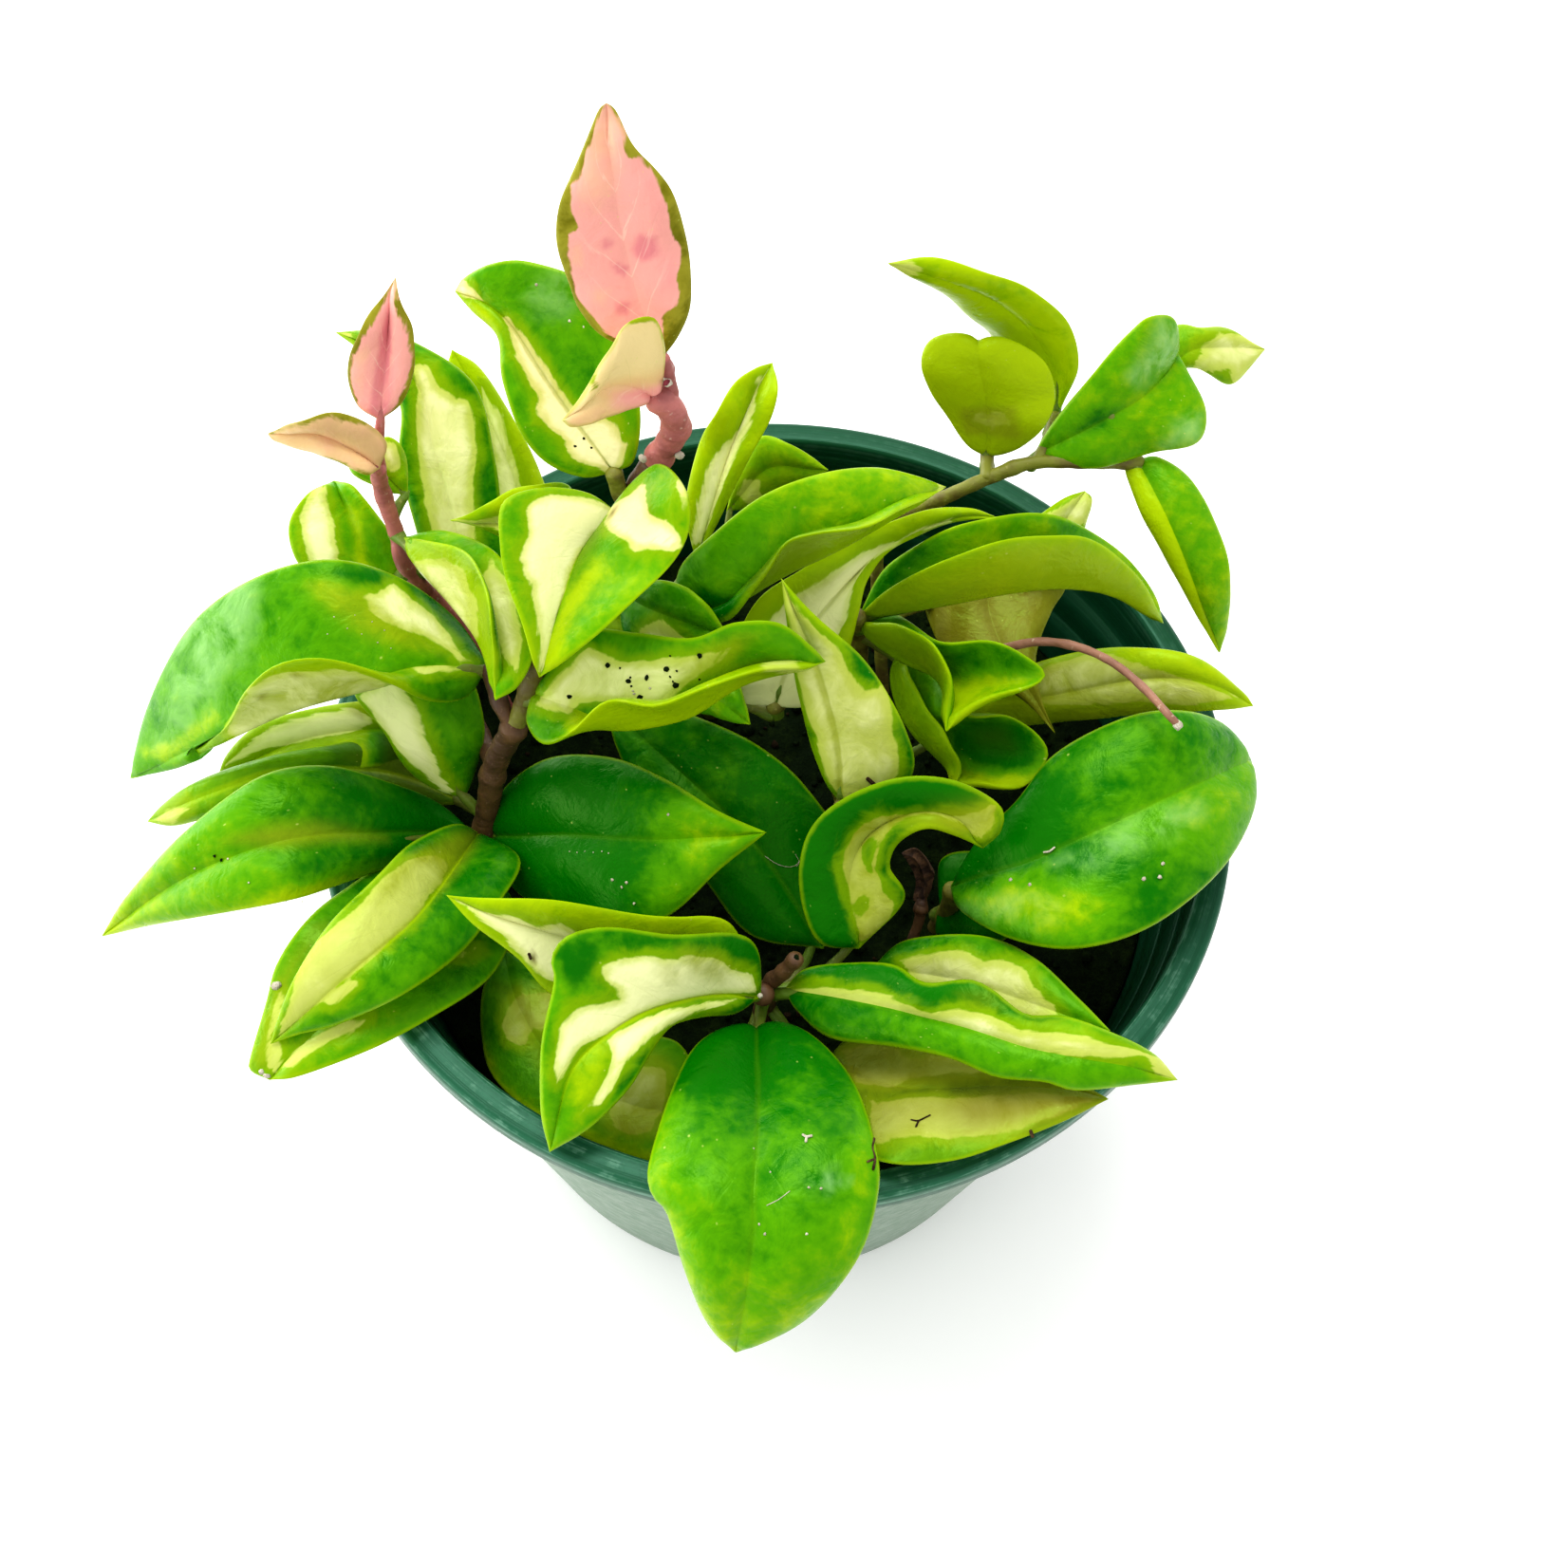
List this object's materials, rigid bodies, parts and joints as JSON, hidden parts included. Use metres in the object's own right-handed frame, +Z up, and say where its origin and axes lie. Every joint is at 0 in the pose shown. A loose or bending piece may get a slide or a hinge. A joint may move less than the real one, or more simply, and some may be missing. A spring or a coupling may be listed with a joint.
{
  "type": "potted tricolor hoya carnosa plant",
  "caption": "Young wax plant with folded and curled cream, green and pink leaves on short vines, standing in a round tapered nursery pot filled with soil.",
  "frame": {"origin": "centre of the pot's flat base", "axes": "+Z up along the pot's axis, -Y towards the front of the plant as pictured, +X to its right"},
  "size_m": [0.1906, 0.1729, 0.2056],
  "materials": {
    "pot_plastic": "thin deep teal moulded plastic with a satin sheen",
    "soil": "dark crumbly potting mix of bark and peat",
    "green_leaf": "thick waxy green leaf with cream and yellow-green markings",
    "cream_leaf": "thick waxy cream leaf with green margins and streaks",
    "pink_leaf": "thin waxy pink and peach new leaf with an olive margin",
    "withered_leaf": "dry crumpled brown leaf"
  },
  "bodies": {
    "root": {"pot": "pot_plastic", "soil": "soil", "left_stem": "green_leaf", "left_shoot": "pink_leaf", "centre_shoot": "pink_leaf", "back_stem": "green_leaf", "middle_stem": "cream_leaf", "right_back_stem": "green_leaf", "vine_stem": "green_leaf", "right_stem": "green_leaf", "front_stem": "cream_leaf", "dried_leaf": "withered_leaf"}
  },
  "joints": []
}
